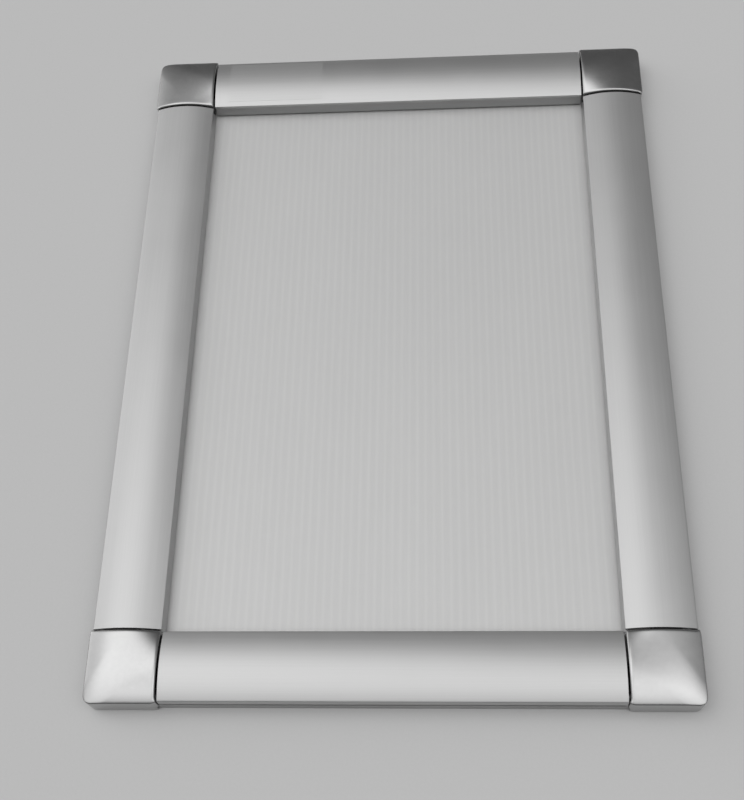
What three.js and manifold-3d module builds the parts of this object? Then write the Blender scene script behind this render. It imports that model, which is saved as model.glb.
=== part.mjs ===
// Snap frame for one printed sheet: hinged aluminium rails between four corner caps.
// Millimetres, +Z out of the front. The frame lies on its back, with its centre at the origin.
import * as THREE from 'three';
import { mergeVertices } from 'three/addons/utils/BufferGeometryUtils.js';
import Module from 'manifold-3d';

const wasm = await Module();
wasm.setup();

// The printed sheet that the frame holds, and the rail around it
const INSERT_WIDTH = 210;
const INSERT_HEIGHT = 297;
const HIDDEN_EDGE = 10;
const RAIL_WIDTH = 29;
const EDGE_HEIGHT = 11;
const ARC_RISE = 2.7;
const COVER_SKIN = 1.3;
const ARC_STEPS = 28;

// Clearances
const SEAT_GAP = 0.05;
const RUNNING_GAP = 0.3;
const JOINT_GAP = 0.8;
const STOP_GAP = 0.4;
const SCREW_GAP = 0.1;
const CUT_PAST = 1;

// Hinge along the outer edge of a rail: a bead on the base inside a claw on the cover
const BEAD_RADIUS = 1.5;
const CLAW_WALL = 1.3;
const HINGE_HEIGHT = 7.6;
const CLAW_START = -25;
const CLAW_END = 190;
const CLAW_ROOT = 50;
const NECK_ANGLE = -53;
const NECK_THICKNESS = 1;
const ROUND_STEP = 12;

// Base rail
const FLOOR_THICKNESS = 1.2;
const WALL_THICKNESS = 1;
const WEB_OFFSET = 1.3;
const SHELF_SETBACK = 1;
const WALL_HOLE_RADIUS = 2.25;
const WALL_HOLE_INSET = 33;

// Fluted back panel and clear cover sheet
const PANEL_THICKNESS = 2.5;
const PANEL_MARGIN = 1;
const PANEL_SIDE_GAP = 0.5;
const FLUTE_PITCH = 3.6;
const FLUTE_WALL = 0.4;
const SHEET_THICKNESS = 0.4;

// Lip of the cover: a nose at the arc's edge, an undercut and a foot that meets the sheet
const NOSE_HEIGHT = 1.1;
const UNDERCUT_DEPTH = 1;
const UNDERCUT_HEIGHT = 0.6;
const LIP_THICKNESS = 1.1;
const FOOT_HEIGHT = 0.5;
const FOOT_WIDTH = 0.3;
const FOOT_REACH = 0.6;

// Corner cap
const CAP_PROUD = 1;
const CAP_RISE = 0.8;
const CAP_WALL = 1.6;
const CAP_FOOT = 0.3;
const CAP_CORNER_RADIUS = 3.8;
const EAR_WIDTH = 1.2;
const CAP_GRID = 14;
const CAVITY_GRID = 8;
const BOSS_RADIUS = 3;

// Corner bracket and its screws
const LEG_REACH = 22;
const LEG_HEIGHT = 3.2;
const LEG_SCREW_INSET = 11;
const SCREW_RADIUS = 1.45;
const HEAD_RADIUS = 2.7;
const HEAD_HEIGHT = 1.7;
const HEAD_DOME = 0.5;
const COUNTERSINK_HEIGHT = 1.4;
const SCREW_SINK = 0.3;
const SCREW_TIP = 1;
const SCREW_TAPER = 0.5;
const CAP_SCREW_LENGTH = 8.5;
const DRIVE_LENGTH = 2.6;
const DRIVE_WIDTH = 0.6;
const DRIVE_DEPTH = 0.8;
const ROUND_SEGMENTS = 20;

// Leaf spring
const SPRING_THICKNESS = 0.5;
const SPRING_WIDTH = 20;
const SPRING_INSET = 48;
const SPRING_HEEL = 2.2;
const SPRING_CURL = 1.4;
const SPRING_TOE = 2;

// Sizes that follow from the ones above
const openingWidth = INSERT_WIDTH - 2 * HIDDEN_EDGE;
const openingHeight = INSERT_HEIGHT - 2 * HIDDEN_EDGE;
const railsWidth = openingWidth + 2 * RAIL_WIDTH;
const railsHeight = openingHeight + 2 * RAIL_WIDTH;
const clawInner = BEAD_RADIUS + RUNNING_GAP;
const clawOuter = clawInner + CLAW_WALL;
const hingeU = clawOuter;
const stopTop = HINGE_HEIGHT - clawOuter - STOP_GAP;
const webU = hingeU + WEB_OFFSET;
const channelStart = webU + WALL_THICKNESS;
const panelEdge = RAIL_WIDTH - HIDDEN_EDGE - PANEL_MARGIN;
const channelEnd = panelEdge - PANEL_SIDE_GAP - WALL_THICKNESS;
const panelBottom = FLOOR_THICKNESS + SEAT_GAP;
const panelTop = panelBottom + PANEL_THICKNESS;
const sheetBottom = panelTop + SEAT_GAP;
const sheetTop = sheetBottom + SHEET_THICKNESS;
const lipBottom = sheetTop + RUNNING_GAP;
const earEnd = RAIL_WIDTH + JOINT_GAP - RUNNING_GAP;
const legBottom = FLOOR_THICKNESS + RUNNING_GAP;
const legTop = FLOOR_THICKNESS + LEG_HEIGHT;
const legStart = channelStart + RUNNING_GAP;
const legEnd = channelEnd - RUNNING_GAP;
const legMiddle = (legStart + legEnd) / 2;
const arcRadius = (RAIL_WIDTH * RAIL_WIDTH / 4 + ARC_RISE * ARC_RISE) / (2 * ARC_RISE);
const arcCentreZ = EDGE_HEIGHT + ARC_RISE - arcRadius;

// Materials: a fresh one for each piece
function metal(color, roughness) {
  return new THREE.MeshStandardMaterial({ color, roughness, metalness: 1 });
}

function plastic(color, roughness, opacity = 1) {
  const transparent = opacity < 1;
  return new THREE.MeshStandardMaterial({ color, roughness, metalness: 0, opacity, transparent });
}

const anodised = () => metal(0xc9cac9, 0.35);
const millFinish = () => metal(0xb9bbbb, 0.5);
const satinPlating = () => metal(0xbdbfbf, 0.22);
const zincSteel = () => metal(0xa9adb0, 0.35);
const springSteel = () => metal(0x7d8288, 0.3);
const bracketPlastic = () => plastic(0x2b2c2e, 0.6);
const flutedPlastic = () => plastic(0xd6d8d8, 0.5);
const clearPlastic = () => plastic(0xf4f6f6, 0.15, 0.25);

// A closed solid from a three.js geometry: its seams are welded and its flat slivers are dropped
function solidOf(geometry) {
  const bare = new THREE.BufferGeometry();
  bare.setAttribute('position', geometry.getAttribute('position'));
  if (geometry.index) {
    bare.setIndex(geometry.index);
  }
  const welded = mergeVertices(bare, 1e-5);
  const corners = welded.index.array;
  const triangles = [];
  for (let i = 0; i < corners.length; i += 3) {
    const [a, b, c] = corners.slice(i, i + 3);
    if (a !== b && b !== c && c !== a) {
      triangles.push(a, b, c);
    }
  }
  return new wasm.Manifold(new wasm.Mesh({
    numProp: 3,
    vertProperties: new Float32Array(welded.getAttribute('position').array),
    triVerts: new Uint32Array(triangles),
  }));
}

// The three.js geometry of a finished solid, with flat faces
function geometryOf(solid) {
  const mesh = solid.getMesh();
  const indexed = new THREE.BufferGeometry();
  indexed.setAttribute('position', new THREE.BufferAttribute(new Float32Array(mesh.vertProperties), 3));
  indexed.setIndex(new THREE.BufferAttribute(new Uint32Array(mesh.triVerts), 1));
  const geometry = indexed.toNonIndexed();
  geometry.computeVertexNormals();
  return geometry;
}

function shapeOf(points) {
  return new THREE.Shape(points.map(([x, y]) => new THREE.Vector2(x, y)));
}

function flatExtrude(shape, depth) {
  return new THREE.ExtrudeGeometry(shape, { depth, bevelEnabled: false });
}

// A section drawn in (inward, up) and run along X, centred on the rail's middle
function runAlongRail(points, length) {
  const geometry = flatExtrude(shapeOf(points), length);
  const inward = new THREE.Vector3(0, 1, 0);
  const up = new THREE.Vector3(0, 0, 1);
  const along = new THREE.Vector3(1, 0, 0);
  geometry.applyMatrix4(new THREE.Matrix4().makeBasis(inward, up, along));
  geometry.translate(-length / 2, 0, 0);
  return geometry;
}

// A box between two corners
function block(low, high) {
  const size = high.map((value, i) => value - low[i]);
  const geometry = new THREE.BoxGeometry(...size);
  geometry.translate(...low.map((value, i) => value + size[i] / 2));
  return solidOf(geometry);
}

// A profile of [radius, height] turned about a vertical line through (x, y)
function turned(profile, x, y) {
  const points = profile.map(([radius, height]) => new THREE.Vector2(radius, height));
  const geometry = new THREE.LatheGeometry(points, ROUND_SEGMENTS);
  geometry.rotateX(Math.PI / 2);
  geometry.translate(x, y, 0);
  return solidOf(geometry);
}

function rod(radius, low, high, x, y) {
  return turned([[0, low], [radius, low], [radius, high], [0, high]], x, y);
}

// Points on a circle from one angle to another, in degrees
function arcPoints(centreU, centreZ, radius, from, to) {
  const steps = Math.max(2, Math.round(Math.abs(to - from) / ROUND_STEP));
  return Array.from({ length: steps + 1 }, (_, i) => {
    const angle = THREE.MathUtils.degToRad(from + (to - from) * i / steps);
    return [centreU + radius * Math.cos(angle), centreZ + radius * Math.sin(angle)];
  });
}

// Height of the rail's curved front at a distance inward from its outer face
function arcHeight(u, lowered = 0) {
  const offset = u - RAIL_WIDTH / 2;
  const radius = arcRadius - lowered;
  return arcCentreZ + Math.sqrt(radius * radius - offset * offset);
}

function arcRun(from, to, lowered) {
  return Array.from({ length: ARC_STEPS + 1 }, (_, i) => {
    const u = from + (to - from) * i / ARC_STEPS;
    return [u, arcHeight(u, lowered)];
  });
}

// The four sides and corners are quarter turns of the bottom rail and the bottom left corner
const cosineAndSine = [[1, 0], [0, 1], [-1, 0], [0, -1]];
const sides = ['bottom', 'right', 'top', 'left'];
const corners = ['bottom_left', 'bottom_right', 'top_right', 'top_left'];

function quarterTurn(turns) {
  const [cos, sin] = cosineAndSine[turns];
  return new THREE.Matrix4().makeBasis(
    new THREE.Vector3(cos, sin, 0),
    new THREE.Vector3(-sin, cos, 0),
    new THREE.Vector3(0, 0, 1),
  );
}

function railLength(turns) {
  return turns % 2 === 0 ? openingWidth : openingHeight;
}

function placeOnSide(geometry, turns) {
  const outward = (turns % 2 === 0 ? railsHeight : railsWidth) / 2;
  geometry.translate(0, -outward, 0);
  geometry.applyMatrix4(quarterTurn(turns));
  return geometry;
}

function placeInCorner(geometry, turns) {
  const halfX = (turns % 2 === 0 ? railsWidth : railsHeight) / 2;
  const halfY = (turns % 2 === 0 ? railsHeight : railsWidth) / 2;
  geometry.translate(-halfX, -halfY, 0);
  geometry.applyMatrix4(quarterTurn(turns));
  return geometry;
}

// Base rail: floor, outer stop, web with the hinge bead, stop wall for the panel and a shelf under it
function baseSection() {
  const halfNeck = THREE.MathUtils.radToDeg(Math.asin(NECK_THICKNESS / 2 / BEAD_RADIUS));
  const neck = THREE.MathUtils.degToRad(NECK_ANGLE);
  const sideways = NECK_THICKNESS / 2;
  const neckHeight = (u, side) => {
    const reach = (u - hingeU - side * sideways * Math.sin(-neck)) / Math.cos(neck);
    return HINGE_HEIGHT + reach * Math.sin(neck) + side * sideways * Math.cos(neck);
  };
  const shelfEnd = RAIL_WIDTH - SHELF_SETBACK;
  const wallEnd = channelEnd + WALL_THICKNESS;
  return [
    [0, 0],
    [shelfEnd, 0],
    [shelfEnd, FLOOR_THICKNESS],
    [wallEnd, FLOOR_THICKNESS],
    [wallEnd, panelTop],
    [channelEnd, panelTop],
    [channelEnd, FLOOR_THICKNESS],
    [channelStart, FLOOR_THICKNESS],
    [channelStart, neckHeight(channelStart, 1)],
    ...arcPoints(hingeU, HINGE_HEIGHT, BEAD_RADIUS, NECK_ANGLE + halfNeck, NECK_ANGLE - halfNeck + 360),
    [webU, neckHeight(webU, -1)],
    [webU, FLOOR_THICKNESS],
    [WALL_THICKNESS, FLOOR_THICKNESS],
    [WALL_THICKNESS, stopTop],
    [0, stopTop],
  ];
}

function baseRail(turns) {
  const length = railLength(turns) - RUNNING_GAP;
  let solid = solidOf(runAlongRail(baseSection(), length));
  const channelMiddle = (channelStart + channelEnd) / 2;
  for (const end of [-1, 1]) {
    const screwX = end * (railLength(turns) / 2 - LEG_SCREW_INSET);
    const wallX = end * (railLength(turns) / 2 - WALL_HOLE_INSET);
    const above = FLOOR_THICKNESS + CUT_PAST;
    solid = solid.subtract(rod(SCREW_RADIUS + SCREW_GAP, -CUT_PAST, above, screwX, legMiddle));
    solid = solid.subtract(rod(WALL_HOLE_RADIUS, -CUT_PAST, above, wallX, channelMiddle));
  }
  return placeOnSide(geometryOf(solid), turns);
}

// Snap cover: the curved front, the hinge claw along its outer edge and the lip along its inner edge
function coverSection() {
  const lipBack = RAIL_WIDTH - UNDERCUT_DEPTH - LIP_THICKNESS;
  const footBack = RAIL_WIDTH - LIP_THICKNESS;
  const undercut = RAIL_WIDTH - UNDERCUT_DEPTH;
  const noseBottom = EDGE_HEIGHT - NOSE_HEIGHT;
  const undercutTop = noseBottom - UNDERCUT_DEPTH;
  const undercutBottom = undercutTop - UNDERCUT_HEIGHT;
  const rootAngle = THREE.MathUtils.degToRad(CLAW_ROOT);
  const rootU = hingeU + clawOuter * Math.cos(rootAngle) + RUNNING_GAP;
  return [
    [0, arcHeight(0)],
    [0, HINGE_HEIGHT + clawOuter * Math.sin(THREE.MathUtils.degToRad(CLAW_END))],
    ...arcPoints(hingeU, HINGE_HEIGHT, clawInner, CLAW_END, CLAW_START),
    ...arcPoints(hingeU, HINGE_HEIGHT, clawOuter, CLAW_START, CLAW_ROOT),
    ...arcRun(rootU, lipBack, COVER_SKIN),
    [lipBack, undercutBottom],
    [footBack, lipBottom],
    [footBack + FOOT_WIDTH, lipBottom],
    [RAIL_WIDTH + FOOT_REACH, lipBottom + FOOT_HEIGHT],
    [undercut, undercutBottom],
    [undercut, undercutTop],
    [RAIL_WIDTH, noseBottom],
    ...arcRun(RAIL_WIDTH, 0, 0).slice(0, -1),
  ];
}

function snapCover(turns) {
  const solid = solidOf(runAlongRail(coverSection(), railLength(turns) - 2 * JOINT_GAP));
  return placeOnSide(geometryOf(solid), turns);
}

// Leaf spring: a strip bent to a leaf that bears on the claw's heel, a foot on the channel floor and a toe
function springSection() {
  const bottom = FLOOR_THICKNESS + SEAT_GAP;
  const heelU = hingeU + clawOuter + RUNNING_GAP;
  const heelZ = HINGE_HEIGHT;
  const line = [
    [heelU + SPRING_CURL, heelZ + SPRING_CURL],
    [heelU, heelZ],
    [heelU, heelZ - SPRING_HEEL],
    [legStart, bottom],
    [legEnd, bottom],
    [legEnd, bottom + SPRING_TOE],
  ];
  const inner = [
    [heelU + SPRING_CURL + SPRING_THICKNESS, heelZ + SPRING_CURL],
    [heelU + SPRING_THICKNESS, heelZ],
    [heelU + SPRING_THICKNESS, heelZ - SPRING_HEEL],
    [legStart + SPRING_THICKNESS, bottom + SPRING_THICKNESS],
    [legEnd - SPRING_THICKNESS, bottom + SPRING_THICKNESS],
    [legEnd - SPRING_THICKNESS, bottom + SPRING_TOE],
  ];
  return [...line, ...inner.reverse()];
}

function leafSpring(turns, end) {
  const geometry = runAlongRail(springSection(), SPRING_WIDTH);
  geometry.translate(end * (railLength(turns) / 2 - SPRING_INSET), 0, 0);
  return placeOnSide(geometryOf(solidOf(geometry)), turns);
}

// How far out a place on a cap lies along the rails' arc, from its distances to the cap's two inner edges.
// Places that lie equally far out form a straight line close to the inner corner, and a circle at the middle
// of the rail. Further out they form squares with rounded corners, down to the cap's own corner radius.
function capReach(near, far) {
  const middle = RAIL_WIDTH / 2;
  const squareness = (RAIL_WIDTH + CAP_PROUD - CAP_CORNER_RADIUS) / (middle + CAP_PROUD);
  const fromCorner = Math.hypot(near, far);
  if (fromCorner <= middle) {
    return THREE.MathUtils.lerp(near + far, fromCorner, fromCorner / middle);
  }
  if (near <= squareness * (far - middle)) {
    return far;
  }
  const shrink = 1 - squareness;
  const second = 2 * squareness ** 2 - shrink ** 2;
  const first = squareness * (near + far) + middle * shrink;
  const root = Math.sqrt(first ** 2 - second * (fromCorner ** 2 - middle ** 2));
  return middle + (first - root) / second;
}

// Front of a corner cap: it meets the rails' arcs at both joints and dips to its inner corner
function capHeight(a, b) {
  const fromInside = [Math.max(RAIL_WIDTH - a, 0), Math.max(RAIL_WIDTH - b, 0)];
  const reach = capReach(Math.min(...fromInside), Math.max(...fromInside));
  return arcHeight(RAIL_WIDTH - reach) + CAP_RISE;
}

// A square block from low to high whose top follows the cap's front, lowered by a distance
function domedBlock(low, high, bottom, lowered, grid) {
  const size = high - low;
  const geometry = new THREE.BoxGeometry(size, size, 1, grid, grid, 1);
  geometry.translate(low + size / 2, low + size / 2, 0);
  const position = geometry.getAttribute('position');
  for (let i = 0; i < position.count; i += 1) {
    const top = position.getZ(i) > 0;
    position.setZ(i, top ? capHeight(position.getX(i), position.getY(i)) - lowered : bottom);
  }
  return solidOf(geometry);
}

// A square column with its outer corner rounded
function cornerColumn(low, high, radius, bottom, top) {
  const round = arcPoints(low + radius, low + radius, radius, 270, 180);
  const geometry = flatExtrude(shapeOf([[low, high], [high, high], [high, low], ...round]), top - bottom);
  geometry.translate(0, 0, bottom);
  return solidOf(geometry);
}

// The cap's outline as a column, with an ear at the outer end of each joint that closes the gap to the cover
function capColumn(outside, ceiling) {
  const earStart = RAIL_WIDTH - CAP_WALL;
  const earBottom = stopTop + RUNNING_GAP;
  return cornerColumn(outside, RAIL_WIDTH, CAP_CORNER_RADIUS, 0, ceiling)
    .add(block([earStart, outside, earBottom], [earEnd, EAR_WIDTH, ceiling]))
    .add(block([outside, earStart, earBottom], [EAR_WIDTH, earEnd, ceiling]));
}

function cornerCap(turns) {
  const outside = -CAP_PROUD;
  const inside = outside + CAP_WALL;
  const ceiling = EDGE_HEIGHT + ARC_RISE + CAP_RISE + CAP_WALL;
  const jointWall = RAIL_WIDTH - CAP_WALL;
  let solid = domedBlock(outside, earEnd, CAP_FOOT, 0, CAP_GRID);
  solid = solid.intersect(capColumn(outside, ceiling));
  const hollow = domedBlock(inside, jointWall, -CAP_FOOT, CAP_WALL, CAVITY_GRID);
  solid = solid.subtract(hollow.intersect(
    cornerColumn(inside, jointWall, CAP_CORNER_RADIUS - CAP_WALL, -CAP_FOOT, ceiling),
  ));
  const past = RAIL_WIDTH + CAP_WALL;
  const legCut = legStart - RUNNING_GAP;
  const panelClear = lipBottom;
  solid = solid.subtract(block([legCut, jointWall - CAP_WALL, 0], [past, past, panelClear]));
  solid = solid.subtract(block([jointWall - CAP_WALL, legCut, 0], [past, past, panelClear]));
  solid = solid.subtract(block([inside, jointWall - CAP_WALL, 0], [past, past, legBottom]));
  solid = solid.subtract(block([jointWall - CAP_WALL, inside, 0], [past, past, legBottom]));
  const roof = capHeight(legMiddle, legMiddle) - CAP_WALL / 2;
  solid = solid.add(rod(BOSS_RADIUS, legTop + RUNNING_GAP, roof, legMiddle, legMiddle));
  const pilotTop = SCREW_SINK + CAP_SCREW_LENGTH + RUNNING_GAP;
  solid = solid.subtract(rod(SCREW_RADIUS + SCREW_GAP, 0, pilotTop, legMiddle, legMiddle));
  return placeInCorner(geometryOf(solid), turns);
}

// Corner bracket: a plate under the cap and an L whose legs lie in the two base rails
function cornerBracket(turns) {
  const plateStart = CAP_WALL - CAP_PROUD + RUNNING_GAP;
  const plateEnd = RAIL_WIDTH - RUNNING_GAP / 2;
  const reach = RAIL_WIDTH + LEG_REACH;
  const plateRound = CAP_CORNER_RADIUS - CAP_WALL - RUNNING_GAP;
  let solid = cornerColumn(plateStart, plateEnd, plateRound, 0, FLOOR_THICKNESS);
  for (const alongX of [true, false]) {
    const [endX, endY] = alongX ? [plateEnd, legEnd] : [legEnd, plateEnd];
    const [tipX, tipY] = alongX ? [reach, legEnd] : [legEnd, reach];
    const [holeX, holeY] = alongX ? [legScrewPlace(), legMiddle] : [legMiddle, legScrewPlace()];
    solid = solid.add(block([legStart, legStart, 0], [endX, endY, legTop]));
    solid = solid.add(block([legStart, legStart, legBottom], [tipX, tipY, legTop]));
    solid = solid.subtract(rod(SCREW_RADIUS + SCREW_GAP, 0, legTop + CUT_PAST, holeX, holeY));
  }
  solid = solid.subtract(turned(countersunkHole(), legMiddle, legMiddle));
  return placeInCorner(geometryOf(solid), turns);
}

function legScrewPlace() {
  return RAIL_WIDTH + LEG_SCREW_INSET;
}

// Outline of the cap screw, which goes in from the back, and of its hole through the bracket
function capScrewProfile() {
  const end = SCREW_SINK + CAP_SCREW_LENGTH;
  return [
    [0, SCREW_SINK],
    [HEAD_RADIUS, SCREW_SINK],
    [SCREW_RADIUS, SCREW_SINK + COUNTERSINK_HEIGHT],
    [SCREW_RADIUS, end - SCREW_TIP],
    [SCREW_RADIUS - SCREW_TAPER, end],
    [0, end],
  ];
}

function countersunkHole() {
  const wide = HEAD_RADIUS + SCREW_GAP;
  const narrow = SCREW_RADIUS + SCREW_GAP;
  return [
    [0, -CUT_PAST],
    [wide, -CUT_PAST],
    [wide, SCREW_SINK],
    [narrow, SCREW_SINK + COUNTERSINK_HEIGHT],
    [narrow, legTop + CUT_PAST],
    [0, legTop + CUT_PAST],
  ];
}

// A cross slot for a screwdriver, cut into a head between two heights
function crossSlot(x, y, low, high) {
  const long = DRIVE_LENGTH / 2;
  const short = DRIVE_WIDTH / 2;
  const one = block([x - long, y - short, low], [x + long, y + short, high]);
  return one.add(block([x - short, y - long, low], [x + short, y + long, high]));
}

function capScrew(turns) {
  const slot = crossSlot(legMiddle, legMiddle, -CUT_PAST, SCREW_SINK + DRIVE_DEPTH);
  const solid = turned(capScrewProfile(), legMiddle, legMiddle).subtract(slot);
  return placeInCorner(geometryOf(solid), turns);
}

function bracketScrew(turns, alongX) {
  const [x, y] = alongX ? [legScrewPlace(), legMiddle] : [legMiddle, legScrewPlace()];
  const headBottom = legTop + SEAT_GAP;
  const headTop = headBottom + HEAD_HEIGHT;
  const profile = [
    [0, SCREW_SINK],
    [SCREW_RADIUS - SCREW_TAPER, SCREW_SINK],
    [SCREW_RADIUS, SCREW_SINK + SCREW_TIP],
    [SCREW_RADIUS, headBottom],
    [HEAD_RADIUS, headBottom],
    [HEAD_RADIUS, headTop - HEAD_DOME],
    [HEAD_RADIUS - HEAD_DOME, headTop],
    [0, headTop],
  ];
  const solid = turned(profile, x, y).subtract(crossSlot(x, y, headTop - DRIVE_DEPTH, headTop + CUT_PAST));
  return placeInCorner(geometryOf(solid), turns);
}

// Back panel: two skins joined by ribs, with open flutes that run up the frame
function backPanel() {
  const halfWidth = INSERT_WIDTH / 2 + PANEL_MARGIN;
  const halfHeight = INSERT_HEIGHT / 2 + PANEL_MARGIN;
  const flutes = Math.floor((2 * halfWidth - FLUTE_WALL) / FLUTE_PITCH);
  const halfFlute = (FLUTE_PITCH - FLUTE_WALL) / 2;
  let solid = block([-halfWidth, -halfHeight, panelBottom], [halfWidth, halfHeight, panelTop]);
  for (let i = 0; i < flutes; i += 1) {
    const middle = (i - (flutes - 1) / 2) * FLUTE_PITCH;
    solid = solid.subtract(block(
      [middle - halfFlute, -halfHeight - CUT_PAST, panelBottom + FLUTE_WALL],
      [middle + halfFlute, halfHeight + CUT_PAST, panelTop - FLUTE_WALL],
    ));
  }
  return geometryOf(solid);
}

function coverSheet() {
  const halfWidth = INSERT_WIDTH / 2;
  const halfHeight = INSERT_HEIGHT / 2;
  return geometryOf(block([-halfWidth, -halfHeight, sheetBottom], [halfWidth, halfHeight, sheetTop]));
}

// The whole frame
const frame = new THREE.Group();

function addPiece(name, geometry, material) {
  const mesh = new THREE.Mesh(geometry, material);
  mesh.name = name;
  frame.add(mesh);
}

sides.forEach((side, turns) => {
  addPiece(`base_rail_${side}`, baseRail(turns), millFinish());
  addPiece(`snap_cover_${side}`, snapCover(turns), anodised());
  [-1, 1].forEach((end, i) => {
    addPiece(`leaf_spring_${side}_${i + 1}`, leafSpring(turns, end), springSteel());
  });
});

corners.forEach((corner, turns) => {
  addPiece(`corner_cap_${corner}`, cornerCap(turns), satinPlating());
  addPiece(`corner_bracket_${corner}`, cornerBracket(turns), bracketPlastic());
  addPiece(`cap_screw_${corner}`, capScrew(turns), zincSteel());
  [true, false].forEach((alongX, i) => {
    addPiece(`bracket_screw_${corner}_${i + 1}`, bracketScrew(turns, alongX), zincSteel());
  });
});

addPiece('back_panel', backPanel(), flutedPlastic());
addPiece('cover_sheet', coverSheet(), clearPlastic());

export default frame;
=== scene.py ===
# %% [markdown]
# # A snap frame for one sheet
# The real object is a wall frame: four aluminium rails between four moulded corners, with a white
# panel and a clear sheet inside. Each rail's front cover snaps open on its outer edge. The CAD
# model already holds every solid in its place, in metres, with the joints. This lesson keeps those
# places, and gives each piece the soft edges and the finish that the eye expects from drawn metal,
# plating and moulded plastic.

# %% Load the frame
import math

import bmesh
import bpy
from mathutils import Matrix, Vector


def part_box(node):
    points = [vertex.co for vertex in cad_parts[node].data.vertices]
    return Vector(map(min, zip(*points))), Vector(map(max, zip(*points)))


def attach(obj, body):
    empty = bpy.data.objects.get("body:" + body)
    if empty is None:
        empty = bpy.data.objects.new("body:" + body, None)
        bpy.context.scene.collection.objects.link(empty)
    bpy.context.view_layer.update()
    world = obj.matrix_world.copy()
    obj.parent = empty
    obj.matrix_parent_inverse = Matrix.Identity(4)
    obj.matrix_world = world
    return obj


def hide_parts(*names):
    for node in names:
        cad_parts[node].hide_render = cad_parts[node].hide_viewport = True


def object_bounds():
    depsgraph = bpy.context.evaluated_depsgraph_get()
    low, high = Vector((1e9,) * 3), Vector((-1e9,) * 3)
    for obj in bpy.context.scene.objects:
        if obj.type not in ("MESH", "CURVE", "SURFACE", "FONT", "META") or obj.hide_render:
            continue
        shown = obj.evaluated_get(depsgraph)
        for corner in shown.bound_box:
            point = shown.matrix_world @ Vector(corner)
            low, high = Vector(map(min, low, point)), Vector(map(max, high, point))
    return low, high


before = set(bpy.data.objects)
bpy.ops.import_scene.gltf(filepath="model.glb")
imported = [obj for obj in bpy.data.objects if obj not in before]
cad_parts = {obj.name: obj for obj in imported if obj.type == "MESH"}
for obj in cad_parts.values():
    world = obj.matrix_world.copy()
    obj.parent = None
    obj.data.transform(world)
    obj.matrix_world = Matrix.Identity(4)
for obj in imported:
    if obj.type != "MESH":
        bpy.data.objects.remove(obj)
cad_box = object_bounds()
MM = 0.001
cad_sides = [round(side / MM, 1) for side in cad_box[1] - cad_box[0]]
print("CAD solids:", len(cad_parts), "box in mm:", cad_sides)

# %% [markdown]
# ## Camera
# The frame lies on its back and is seen from above its lower edge, at arm's length, with the camera
# turned a little. A camera could be aimed with a Track To constraint, but three plain turns say the
# same thing and stay put: look down, swing round, then roll. The lens is in millimetres on a 36 mm
# sensor.

# %% Aim the camera
LENS, SENSOR = 52.995, 36
NEAREST_SEEN = 0.01
CAMERA_PLACE = Vector((28.037, -268.737, 483.148)) * MM
DOWNWARD, SWING, ROLL = math.radians(63.163), math.radians(9.008), math.radians(-8.921)

camera = bpy.data.objects.new("camera", bpy.data.cameras.new("camera"))
camera.data.lens = LENS
camera.data.sensor_width = SENSOR
camera.data.clip_start = NEAREST_SEEN
look_down = Matrix.Rotation(math.pi / 2 - DOWNWARD, 4, "X")
turn = Matrix.Rotation(SWING, 4, "Z") @ look_down @ Matrix.Rotation(ROLL, 4, "Z")
camera.matrix_world = Matrix.Translation(CAMERA_PLACE) @ turn
bpy.context.scene.collection.objects.link(camera)
bpy.context.scene.camera = camera
bpy.context.scene.view_settings.view_transform = "Standard"
print("camera is", round(CAMERA_PLACE.length, 3), "m from the middle of the frame")

# %% [markdown]
# ## Writing finishes as expressions
# A finish is a small network of nodes. Wiring it by hand takes many lines, so one class wraps an
# output socket and turns Python's operators into Math nodes. A second class holds one network and
# has a single method that adds any other node: its settings first, and then the values or wires of
# its sockets.

# %% A wire and a finish
class Wire:
    """An output socket that can be used in sums."""

    def __init__(self, finish, socket):
        self.finish = finish
        self.socket = socket

    def maths(self, operation, first, second):
        return self.finish.node("ShaderNodeMath", {"operation": operation}, {0: first, 1: second})

    def __add__(self, other):
        return self.maths("ADD", self, other)

    def __sub__(self, other):
        return self.maths("SUBTRACT", self, other)

    def __rsub__(self, other):
        return self.maths("SUBTRACT", other, self)

    def __mul__(self, other):
        return self.maths("MULTIPLY", self, other)

    def __truediv__(self, other):
        return self.maths("DIVIDE", self, other)

    def __rtruediv__(self, other):
        return self.maths("DIVIDE", other, self)

    __radd__ = __add__
    __rmul__ = __mul__


class Finish:
    """A network of shader nodes in a material or in the world."""

    def __init__(self, owner):
        self.owner = owner
        owner.use_nodes = True
        self.tree = owner.node_tree
        self.tree.nodes.clear()

    def node(self, kind, settings=None, inputs=None, output=0):
        made = self.tree.nodes.new(kind)
        for name, value in (settings or {}).items():
            setattr(made, name, value)
        for name, value in (inputs or {}).items():
            if isinstance(value, Wire):
                self.tree.links.new(value.socket, made.inputs[name])
            else:
                made.inputs[name].default_value = value
        return Wire(self, made.outputs[output]) if made.outputs else None

# %% [markdown]
# A few helpers come back in every finish. Patterns are read from Object coordinates, because each
# piece keeps its place in its mesh, so a pattern stays on the piece when the piece moves.
# Stretching the coordinates before a noise turns specks into the long lines that a die leaves on
# drawn metal.

# %% Helpers for patterns
def grey(level):
    """A neutral colour."""
    return (level, level, level, 1)


def specks(finish, per_metre, detail=2):
    """Noise from 0 to 1, with its own frequency along each axis."""
    place = finish.node("ShaderNodeTexCoord", output="Object")
    place = finish.node("ShaderNodeMapping", {}, {"Vector": place, "Scale": per_metre})
    sockets = {"Vector": place, "Scale": 1.0, "Detail": detail, "Roughness": 0.5}
    return finish.node("ShaderNodeTexNoise", {}, sockets)


def blend(finish, share, first, second):
    """The first colour where share is 0 and the second where it is 1."""
    sockets = {0: share, 6: first, 7: second}
    return finish.node("ShaderNodeMix", {"data_type": "RGBA"}, sockets, output=2)


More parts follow.
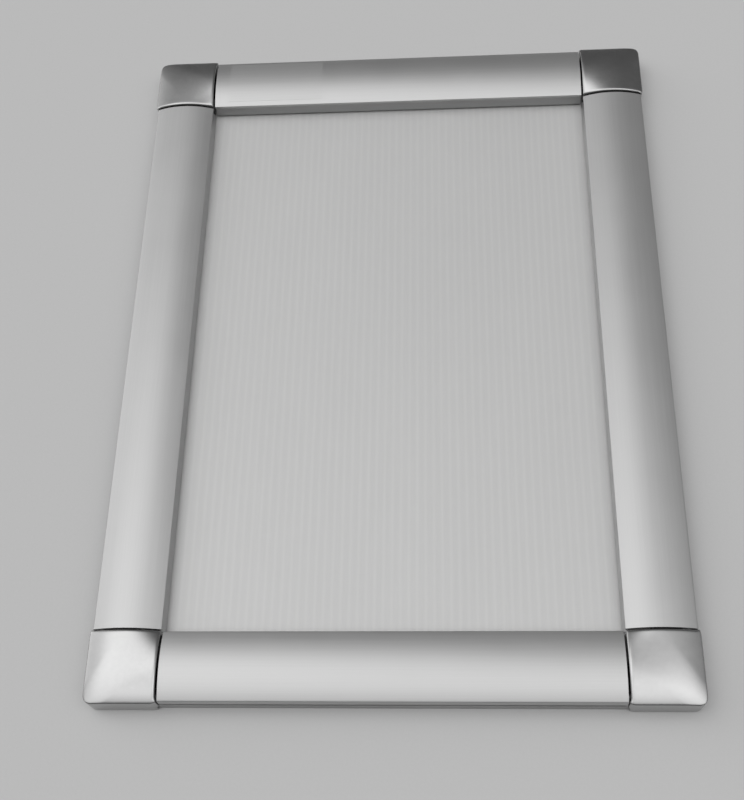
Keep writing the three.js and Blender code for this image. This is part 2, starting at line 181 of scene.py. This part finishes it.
def relief(finish, height, depth, strength):
    """Small ups and downs of the surface, depth in metres."""
    sockets = {"Height": height, "Distance": depth, "Strength": strength}
    return finish.node("ShaderNodeBump", {}, sockets)


def made_finish(name, pattern, **fixed):
    """A material: pattern returns the sockets that vary, fixed holds the ones that don't."""
    finish = Finish(bpy.data.materials.new(name))
    sockets = {key.replace("_", " "): value for key, value in fixed.items()}
    sockets.update(pattern(finish))
    shader = finish.node("ShaderNodeBsdfPrincipled", {}, sockets)
    finish.node("ShaderNodeOutputMaterial", {}, {"Surface": shader})
    print("finish", name, "uses", len(finish.tree.nodes), "nodes")
    return finish.owner

# %% [markdown]
# ## Floor and light
# The frame lies on a pale, matt table under a wide, soft ceiling light, in a room that is dim near
# the horizon. Curved metal shows its surroundings, so the light is a world made of patches that
# fade into each other, in rings round the zenith: the rails then shade smoothly, and a soft shade
# lies along the frame. Area lamps would also work, but their hard rims would show in the corner
# caps.

# %% Pale table top
FLOOR_SIZE = 30
FLOOR_GAP = 0.05 * MM


def table_top(finish):
    grain = specks(finish, (900, 900, 900), detail=3)
    return {
        "Base Color": blend(finish, grain, grey(0.58), grey(0.61)),
        "Roughness": 0.75 + 0.1 * grain,
        "Normal": relief(finish, grain, 0.05 * MM, 0.15),
    }


floor_mesh = bmesh.new()
bmesh.ops.create_grid(floor_mesh, x_segments=1, y_segments=1, size=FLOOR_SIZE / 2)
bmesh.ops.translate(floor_mesh, verts=floor_mesh.verts, vec=(0, 0, cad_box[0].z - FLOOR_GAP))
floor = bpy.data.objects.new("table_top", bpy.data.meshes.new("table_top"))
floor_mesh.to_mesh(floor.data)
floor_mesh.free()
floor.data.materials.append(made_finish("table_top", table_top, Specular_IOR_Level=0.2))
bpy.context.scene.collection.objects.link(floor)

# %% Soft light
DIM_ROOM = 0.14
# Each ring: degrees above the table, tightness of its lights, and strengths by direction in degrees
LIGHT_RINGS = [
    (74, 35, {0: 1.00, 60: 0.29, 120: 1.08, 180: 0.46, 240: 0.67, 300: 0.83}),
    (62, 68, {112: 0.31, 195: 0.21, 237: 0.91, 292: 0.96, 348: 0.44}),
    (56, 25, {22: 0.34, 112: 0.36, 157: 1.50, 202: 1.01, 337: 0.95}),
    (36, 14, {0: 0.40}),
    (14, 10, {158: 1.54}),
]

room = Finish(bpy.data.worlds.new("room"))
seen = room.node("ShaderNodeTexCoord", output="Generated")


def glow(direction, height, tightness, strength):
    """A patch of light that fades evenly round one direction."""
    up, across = math.sin(math.radians(height)), math.cos(math.radians(height))
    heading = math.radians(direction)
    sockets = {0: seen, 1: (across * math.cos(heading), across * math.sin(heading), up)}
    facing = room.node("ShaderNodeVectorMath", {"operation": "DOT_PRODUCT"}, sockets, "Value")
    fade = room.node("ShaderNodeMath", {"operation": "EXPONENT"}, {0: tightness * (facing - 1)})
    return strength * fade


glows = [
    glow(direction, height, tightness, strength)
    for height, tightness, ring in LIGHT_RINGS
    for direction, strength in ring.items()
]
level = sum(glows, DIM_ROOM)
shine = room.node("ShaderNodeBackground", {}, {"Color": level, "Strength": 1.0})
room.node("ShaderNodeOutputWorld", {}, {"Surface": shine})
bpy.context.scene.world = room.owner
print("the room has", len(glows), "soft lights")

# %% [markdown]
# ## Metal finishes
# The rails are drawn through a die and then anodised, so fine lines run along them and the gloss is
# satin. The oxide is a little milky, so a small share of the light is scattered as it is by paint.
# The lines are noise stretched almost two hundred times along the rail. Rails that lie across and
# rails that stand upright need their own copy, because the lines follow the metal and not the room.
# The base rails behind are the same metal as it leaves the mill: bare, greyer and with stronger
# lines.

# %% Drawn aluminium
ALONG, ACROSS = 14, 2600


def drawn_lines(upright):
    """Frequencies per metre of the die's lines, on a rail that stands upright or lies across."""
    return (ACROSS, ALONG, ACROSS) if upright else (ALONG, ACROSS, ACROSS)


def drawn_aluminium(name, upright, dark, pale, gloss, depth, metallic):
    """A metal whose lines follow the rail; depth is that of the lines."""
    def pattern(finish):
        lines = specks(finish, drawn_lines(upright), detail=3)
        clouds = specks(finish, (45, 45, 45))
        return {
            "Base Color": blend(finish, lines * 0.6 + clouds * 0.4, grey(dark), grey(pale)),
            "Roughness": gloss + 0.10 * lines + 0.05 * clouds,
            "Normal": relief(finish, lines, depth, 0.25),
        }
    return made_finish(name, pattern, Metallic=metallic)


STANCES = {False: "across", True: "upright"}
anodised = {
    upright: drawn_aluminium(f"anodised_{word}", upright, dark=0.45, pale=0.55, gloss=0.33,
                             depth=0.010 * MM, metallic=0.85)
    for upright, word in STANCES.items()
}
mill = {
    upright: drawn_aluminium(f"mill_{word}", upright, dark=0.34, pale=0.48, gloss=0.36,
                             depth=0.025 * MM, metallic=1.0)
    for upright, word in STANCES.items()
}

# %% [markdown]
# The corner caps are plastic with a satin metal plating. Plating follows every ripple of the
# moulding, so it has no lines: only a faint mottle, a finer bloom from handling and a shallow
# orange peel. It is smoother than the rails, and it shows the light and the dim room with more
# contrast.

# %% Satin plating
def satin_plating(finish):
    mottle = specks(finish, (120, 120, 120), detail=3)
    bloom = specks(finish, (420, 420, 420), detail=3)
    peel = specks(finish, (1400, 1400, 1400))
    return {
        "Base Color": blend(finish, 0.5 * mottle + 0.5 * bloom, grey(0.375), grey(0.46)),
        "Roughness": 0.15 + 0.07 * mottle + 0.05 * bloom + 0.02 * peel,
        "Normal": relief(finish, peel, 0.012 * MM, 0.25),
    }


plating = made_finish("satin_plating", satin_plating, Metallic=1.0)

# %% [markdown]
# Springs are cold-rolled strip and screws are zinc-plated. Both are small and mostly hidden, but
# they show when a cover stands open or the frame is turned over. The strip gets rolling lines, and
# the zinc gets the cloudy patches of a dipped coat.

# %% Small steel parts
def rolled_strip(finish):
    lines = specks(finish, (600, 600, 5000))
    return {
        "Base Color": blend(finish, lines, (0.30, 0.31, 0.34, 1), (0.44, 0.45, 0.47, 1)),
        "Roughness": 0.24 + 0.14 * lines,
    }


def zinc_coat(finish):
    patches = specks(finish, (700, 700, 700), detail=4)
    return {
        "Base Color": blend(finish, patches, (0.46, 0.47, 0.50, 1), (0.66, 0.65, 0.60, 1)),
        "Roughness": 0.22 + 0.20 * patches,
        "Normal": relief(finish, patches, 0.02 * MM, 0.2),
    }


spring_steel = made_finish("rolled_strip", rolled_strip, Metallic=1.0)
zinc_steel = made_finish("zinc_coat", zinc_coat, Metallic=1.0)

# %% [markdown]
# ## Plastic finishes
# The corner brackets are black moulded plastic with the fine matt grain of a spark-eroded mould.

# %% Moulded black
def moulded_black(finish):
    grain = specks(finish, (2600, 2600, 2600), detail=3)
    flow = specks(finish, (90, 90, 90))
    return {
        "Base Color": blend(finish, flow, grey(0.018), grey(0.032)),
        "Roughness": 0.42 + 0.2 * grain,
        "Normal": relief(finish, grain, 0.03 * MM, 0.4),
    }


bracket_black = made_finish("moulded_black", moulded_black)

# %% [markdown]
# The back panel is a white twin-wall plastic sheet. Its two skins are joined by ribs every few
# millimetres, and each rib shows through the skin as a faint line and a shallow sink. The ribs
# stand at whole steps of the flute pitch from the middle, so the line is worked out from the X
# coordinate: the distance to the nearest rib, made soft at its edges.

# %% Fluted panel
FLUTE_PITCH = 3.6 * MM
RIB_SOFTNESS = 0.30


def fluted_white(finish):
    place = finish.node("ShaderNodeTexCoord", output="Object")
    across = finish.node("ShaderNodeSeparateXYZ", {}, {"Vector": place}, "X") / FLUTE_PITCH
    from_rib = finish.node("ShaderNodeMath", {"operation": "PINGPONG"}, {0: across, 1: 0.5})
    rib = finish.node("ShaderNodeMapRange", {"interpolation_type": "SMOOTHSTEP"},
                      {"Value": from_rib, "From Max": RIB_SOFTNESS, "To Min": 1.0, "To Max": 0.0})
    clouds = specks(finish, (25, 9, 25), detail=3)
    grain = specks(finish, (1800, 500, 1800))
    share = 0.38 * rib + 0.42 * clouds + 0.20 * grain
    return {
        "Base Color": blend(finish, share, grey(0.57), (0.64, 0.64, 0.635, 1)),
        "Roughness": 0.40 + 0.15 * grain,
        "Normal": relief(finish, rib + 0.15 * grain, 0.03 * MM, 0.25),
    }


panel_white = made_finish("fluted_white", fluted_white, Specular_IOR_Level=0.35)

# %% [markdown]
# The sheet that lies over the print is clear matt plastic. Real refraction is not needed in a sheet
# under half a millimetre thick that lies on what it covers. What the eye sees is a faint, blurred
# reflection, so the sheet is a thin silvery veil: mostly see-through, with cloudy haze and a few
# long scuffs in its gloss.

# %% Clear sheet
def matt_film(finish):
    scuffs = specks(finish, (500, 30, 500), detail=4)
    clouds = specks(finish, (18, 18, 18))
    return {
        "Alpha": 0.05 + 0.03 * clouds,
        "Roughness": 0.32 + 0.15 * scuffs,
    }


clear_sheet = made_finish("matt_film", matt_film, Base_Color=grey(0.90), Metallic=1.0)

# %% [markdown]
# ## Pieces that follow a CAD solid
# Rails, brackets, springs and screws already have the right shape. What they lack is the small
# round on every edge that catches the light. A copy of the solid is merged, its flat faces are
# joined, and the edges that are still sharp are bevelled. On a low wall two rounds can meet, so
# points that then share a place are merged too. Weighted normals keep the flats flat beside the
# rounds.

# %% Soften a copy
SHARP, FLAT, CREASE = math.radians(28), math.radians(0.4), math.radians(50)
SAME_PLACE = 0.0005 * MM
WIDE_ROUND = 0.5 * MM


def finished_piece(name, mesh, finish, slot, body, crease, *nodes):
    """A smooth object at the origin that rides on a body and stands for CAD nodes."""
    for face in mesh.faces:
        face.smooth = True
    piece = bpy.data.objects.new(name, bpy.data.meshes.new(name))
    mesh.to_mesh(piece.data)
    mesh.free()
    piece.data.set_sharp_from_angle(angle=crease)
    piece.data.materials.append(finish)
    bpy.context.scene.collection.objects.link(piece)
    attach(piece, body)
    if nodes:
        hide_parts(*nodes)
    return piece


def round_sharp(copy, radius, segments, chosen=None):
    """Rounds the sharp edges, or only those that chosen picks."""
    sharp = [edge for edge in copy.edges if edge.is_manifold and edge.calc_face_angle() > SHARP]
    if chosen:
        sharp = [edge for edge in sharp if chosen(edge)]
    bmesh.ops.bevel(copy, geom=sharp, offset=radius, offset_type="OFFSET", segments=segments,
                    profile=0.5, affect="EDGES", material=-1, clamp_overlap=True)


def softened(node, name, finish, slot, body, radius, wide_edges=None):
    """A copy of a CAD node with soft edges; wide_edges picks those with a larger round."""
    copy = bmesh.new()
    copy.from_mesh(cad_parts[node].data)
    bmesh.ops.remove_doubles(copy, verts=copy.verts, dist=SAME_PLACE)
    bmesh.ops.dissolve_limit(copy, angle_limit=FLAT, verts=copy.verts, edges=copy.edges)
    if wide_edges:
        round_sharp(copy, WIDE_ROUND, segments=4, chosen=wide_edges)
    round_sharp(copy, radius, segments=2)
    bmesh.ops.remove_doubles(copy, verts=copy.verts, dist=SAME_PLACE)
    piece = finished_piece(name, copy, finish, slot, body, CREASE, node)
    normals = piece.modifiers.new("flat faces stay flat", "WEIGHTED_NORMAL")
    normals.keep_sharp = True
    return piece

# %% [markdown]
# A cover's long outer edge, between its curved front and its outer face, has a larger round from
# the die. It shows as a thin dark line along the frame, so those edges are picked out by their
# place and rounded first.

# %% Rails
SIDES = ("bottom", "right", "top", "left")
COVER_ROUND, RAIL_ROUND = 0.16 * MM, 0.12 * MM
ON_FACE = 0.01 * MM


def outer_edge(side):
    """A test for the edges between the front and the outer face of one cover."""
    low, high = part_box(f"snap_cover_{side}")
    axis = 0 if side in ("left", "right") else 1
    face = high[axis] if side in ("right", "top") else low[axis]
    half_way = (low.z + high.z) / 2

    def test(edge):
        ends = [point.co for point in edge.verts]
        return all(abs(end[axis] - face) < ON_FACE and end.z > half_way for end in ends)

    return test


rails = []
for side in SIDES:
    upright = side in ("left", "right")
    rails.append(softened(f"snap_cover_{side}", f"cover_{side}", anodised[upright],
                          "anodised_aluminium", f"{side}_cover", COVER_ROUND, outer_edge(side)))
    rails.append(softened(f"base_rail_{side}", f"rail_{side}", mill[upright],
                          "mill_aluminium", "frame", RAIL_ROUND))
for rail in rails:
    print(rail.name, "has", len(rail.data.polygons), "faces")

# %% Brackets, springs and screws
CORNERS = ("bottom_left", "bottom_right", "top_right", "top_left")
BRACKET_ROUND, SCREW_ROUND, SPRING_ROUND = 0.2 * MM, 0.08 * MM, 0.06 * MM

small_pieces = []
for corner in CORNERS:
    small_pieces.append(softened(f"corner_bracket_{corner}", f"bracket_{corner}", bracket_black,
                                 "bracket_plastic", "frame", BRACKET_ROUND))
    small_pieces.append(softened(f"cap_screw_{corner}", f"screw_{corner}", zinc_steel,
                                 "zinc_steel", "frame", SCREW_ROUND))
    for number in (1, 2):
        screw = f"{corner}_{number}"
        small_pieces.append(softened(f"bracket_screw_{screw}", f"screw_{screw}", zinc_steel,
                                     "zinc_steel", "frame", SCREW_ROUND))
for side in SIDES:
    for number in (1, 2):
        spring = f"{side}_{number}"
        small_pieces.append(softened(f"leaf_spring_{spring}", f"spring_{spring}", spring_steel,
                                     "spring_steel", "frame", SPRING_ROUND))
print("made", len(small_pieces), "brackets, screws and springs")

# %% [markdown]
# The panel and the clear sheet are flat boards with cut edges. Their CAD shape, with the panel's
# hollow flutes, is already what the eye sees, so only their finish changes.

# %% Panel and sheet keep their CAD shape
for node, finish in (("back_panel", panel_white), ("cover_sheet", clear_sheet)):
    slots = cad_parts[node].data.materials
    slots.clear()
    slots.append(finish)
panel_low, panel_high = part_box("back_panel")
print("panel spans", [round(side / MM, 1) for side in panel_high - panel_low], "mm")

# %% [markdown]
# ## Corner caps
# A cap is a moulded shell. Its front carries the curve of one rail round into the next. Seen from
# above, the places at one height form a straight line across the inner corner, then a circle, and
# towards the outside squares with corners that are rounder than the cap's own, so the outer corner
# is soft like a cushion. Sculpting would lose the exact match with the rails, so the height is a
# formula: how far out a place lies along the rail's curve, and how high the curve is there.

# %% The front of a cap as a height
RAIL_WIDTH = 29.0 * MM
CAP_PROUD = 1.0 * MM
CAP_SIDE = RAIL_WIDTH + CAP_PROUD
LEVEL_ROUND = 8.0 * MM
ARC_RISE = 2.7 * MM
CROWN = RAIL_WIDTH / 2
COVER_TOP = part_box("snap_cover_bottom")[1].z
CAP_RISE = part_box("corner_cap_bottom_left")[1].z - COVER_TOP
ARC_RADIUS = (CROWN ** 2 + ARC_RISE ** 2) / (2 * ARC_RISE)
SQUARENESS = (CAP_SIDE - LEVEL_ROUND) / (CAP_SIDE - CROWN)


def rail_front(inward):
    """Height of a rail's curved front, at a distance inward from its outer face."""
    return COVER_TOP - ARC_RADIUS + math.sqrt(ARC_RADIUS ** 2 - (inward - CROWN) ** 2)


def cap_reach(near, far):
    """How far out a place lies along the curve, from its distances to the cap's two inner edges."""
    from_corner = math.hypot(near, far)
    if from_corner <= CROWN:
        share = from_corner / CROWN
        return (near + far) * (1 - share) + from_corner * share
    if near <= SQUARENESS * (far - CROWN):
        return far
    shrink = 1 - SQUARENESS
    second = 2 * SQUARENESS ** 2 - shrink ** 2
    first = SQUARENESS * (near + far) + CROWN * shrink
    root = math.sqrt(first ** 2 - second * (from_corner ** 2 - CROWN ** 2))
    return CROWN + (first - root) / second


def cap_front(a, b):
    """Height of a cap's front, at distances inward from the two rails' outer faces."""
    near, far = sorted((max(RAIL_WIDTH - a, 0), max(RAIL_WIDTH - b, 0)))
    return rail_front(RAIL_WIDTH - cap_reach(near, far)) + CAP_RISE


crown_height = round(cap_front(CROWN, RAIL_WIDTH) / MM, 2)
print("cap front is", crown_height, "mm high at the crown of a rail")

# %% [markdown]
# A grid is laid over the cap's square and each of its points is lifted to that height. The grid is
# finer at its borders, where the front rolls over into the walls, and its outer corner is pulled
# into a round. At the outer end of each joint the cap reaches a little further, so no light shows
# through the gap to the cover.

# %% Grid steps that are finer at the borders
CAP_STEPS, OUTER_STEPS, JOINT_STEPS = 56, 8, 6
CORNER_ROUND = 3.8 * MM
OUTER_ROUND, JOINT_ROUND, ROUND_DEPTH = 0.6 * MM, 1.1 * MM, 0.6 * MM
EAR_REACH, EAR_WIDTH, EAR_LENGTH, EAR_DEPTH = 0.5 * MM, 1.2 * MM, 3.0 * MM, 0.9 * MM


def quarter_wave(step, steps):
    """From 0 to 1 in steps that grow, as seen along a quarter circle."""
    return 1 - math.cos(math.pi / 2 * step / steps)


def from_outside(step):
    """Distance of a grid line from the cap's outer face."""
    last = CAP_STEPS - JOINT_STEPS
    if step <= OUTER_STEPS:
        return OUTER_ROUND * quarter_wave(step, OUTER_STEPS)
    if step >= last:
        return CAP_SIDE - JOINT_ROUND * quarter_wave(CAP_STEPS - step, JOINT_STEPS)
    share = (step - OUTER_STEPS) / (last - OUTER_STEPS)
    return OUTER_ROUND + share * (CAP_SIDE - JOINT_ROUND - OUTER_ROUND)


def roll_over(distance, width):
    """How far a rounded edge has fallen, at a distance from that edge: a quarter ellipse."""
    share = max(1 - distance / width, 0)
    return ROUND_DEPTH * (1 - math.sqrt(1 - share ** 2))


def rounded_corner(a, b, round_a, round_b):
    """Pulls a square corner into a quarter ellipse; a and b are distances from its sides."""
    x, y = 1 - a / round_a, 1 - b / round_b
    if x <= 0 or y <= 0:
        return a, b
    x, y = x * math.sqrt(1 - y * y / 2), y * math.sqrt(1 - x * x / 2)
    return round_a * (1 - x), round_b * (1 - y)


def with_ear(along, out):
    """Reaches towards the cover at the outer end of a joint, with a rounded tip."""
    near_joint = min(max(1 - (CAP_SIDE - along) / EAR_LENGTH, 0), 1)
    near_outside = min(max(1 - (out - CAP_PROUD) / EAR_WIDTH, 0), 1)
    along += EAR_REACH * near_joint * near_outside
    to_tip, out = rounded_corner(CAP_SIDE + EAR_REACH - along, out, EAR_LENGTH, EAR_DEPTH)
    return CAP_SIDE + EAR_REACH - to_tip, out

# %% Lift the grid, then pull the walls down
CAP_FOOT = 0.3 * MM
JOINT_WALL_END = 4.5 * MM
CAP_WALL = 0.9 * MM


def cap_shell():
    """The front and the outer walls of one cap, as a surface without thickness."""
    shell = bmesh.new()
    bmesh.ops.create_grid(shell, x_segments=CAP_STEPS, y_segments=CAP_STEPS, size=CAP_STEPS / 2)
    outside = shell.verts.layers.int.new("outside")
    for point in shell.verts:
        steps = [round(part + CAP_STEPS / 2) for part in point.co.xy]
        a, b = from_outside(steps[0]), from_outside(steps[1])
        point[outside] = int(min(steps) == 0)
        fall = roll_over(min(a, b), OUTER_ROUND) + roll_over(CAP_SIDE - max(a, b), JOINT_ROUND)
        a, b = rounded_corner(a, b, CORNER_ROUND, CORNER_ROUND)
        a, b = with_ear(a, b)
        b, a = with_ear(b, a)
        a, b = a - CAP_PROUD, b - CAP_PROUD
        point.co = (a, b, cap_front(a, b) - fall)
    rim = [edge for edge in shell.edges if edge.is_boundary]
    pulled = bmesh.ops.extrude_edge_only(shell, edges=rim)["geom"]
    for point in (item for item in pulled if isinstance(item, bmesh.types.BMVert)):
        point.co.z = CAP_FOOT if point[outside] else JOINT_WALL_END
    shell.verts.layers.int.remove(outside)
    bmesh.ops.recalc_face_normals(shell, faces=shell.faces)
    return shell


trial = cap_shell()
top = max(trial.faces, key=lambda face: face.calc_center_median().z)
looks = "up" if top.normal.z > 0 else "down"
print("cap shell has", len(trial.faces), "faces, and its front looks", looks)
trial.free()

# %% Give the shell its wall and place four of them
SHELL_CREASE = math.radians(40)
CORNER_SIGNS = [(1, 1), (-1, 1), (-1, -1), (1, -1)]

frame_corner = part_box("corner_cap_bottom_left")[0].xy + Vector((CAP_PROUD, CAP_PROUD))
for quarter, (corner, (x_sign, y_sign)) in enumerate(zip(CORNERS, CORNER_SIGNS)):
    shell = cap_shell()
    bmesh.ops.solidify(shell, geom=shell.faces[:], thickness=CAP_WALL)
    place = Matrix.Translation((frame_corner.x * x_sign, frame_corner.y * y_sign, 0))
    place = place @ Matrix.Rotation(quarter * math.pi / 2, 4, "Z")
    bmesh.ops.transform(shell, matrix=place, verts=shell.verts)
    cap = finished_piece(f"cap_{corner}", shell, plating, "plated_plastic", "frame",
                         SHELL_CREASE, f"corner_cap_{corner}")
    print(cap.name, "spans", [round(side / MM, 2) for side in cap.dimensions])

# %% [markdown]
# ## The bare film on the top cover
# A clear film is stuck on the left part of the top cover, and it follows the curve of the metal. It
# carries nothing here. Since it is bonded to the metal, it looks like the metal under a thin,
# slightly milky skin: its dark parts are a little paler and its bright parts a little duller. So
# its finish is less metallic than the rail's, under a light coat of gloss. The piece itself is a
# strip of grid laid on the curve, with a small thickness.

# %% Milky film
def film_on_metal(finish):
    lines = specks(finish, drawn_lines(False), detail=3)
    ripple = specks(finish, (60, 140, 60))
    return {
        "Base Color": blend(finish, lines, grey(0.46), grey(0.54)),
        "Roughness": 0.34 + 0.10 * lines,
        "Coat Weight": 0.10 + 0.15 * ripple,
        "Normal": relief(finish, ripple, 0.05 * MM, 0.15),
    }


milky_film = made_finish("film_on_metal", film_on_metal, Metallic=0.68, Coat_Roughness=0.12)

# %% Lay the strip on the curve
FILM_LEFT, FILM_RIGHT = -87.0 * MM, -38.5 * MM
FILM_OUTER, FILM_INNER = 2.0 * MM, 26.5 * MM
FILM_THICKNESS = 0.06 * MM
FILM_STEPS_ALONG, FILM_STEPS_ACROSS = 4, 24

rail_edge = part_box("snap_cover_top")[1].y
strip = bmesh.new()
bmesh.ops.create_grid(strip, x_segments=FILM_STEPS_ALONG, y_segments=FILM_STEPS_ACROSS, size=0.5)
for point in strip.verts:
    inward = FILM_OUTER + (0.5 - point.co.y) * (FILM_INNER - FILM_OUTER)
    along = FILM_LEFT + (point.co.x + 0.5) * (FILM_RIGHT - FILM_LEFT)
    point.co = (along, rail_edge - inward, rail_front(inward) + FILM_THICKNESS)
bmesh.ops.recalc_face_normals(strip, faces=strip.faces)
if sum(face.normal.z for face in strip.faces) < 0:
    bmesh.ops.reverse_faces(strip, faces=strip.faces)
bmesh.ops.solidify(strip, geom=strip.faces[:], thickness=FILM_THICKNESS)
film = finished_piece("cover_film", strip, milky_film, "clear_plastic", "top_cover", SHELL_CREASE)
print("film spans", [round(side / MM, 2) for side in film.dimensions])
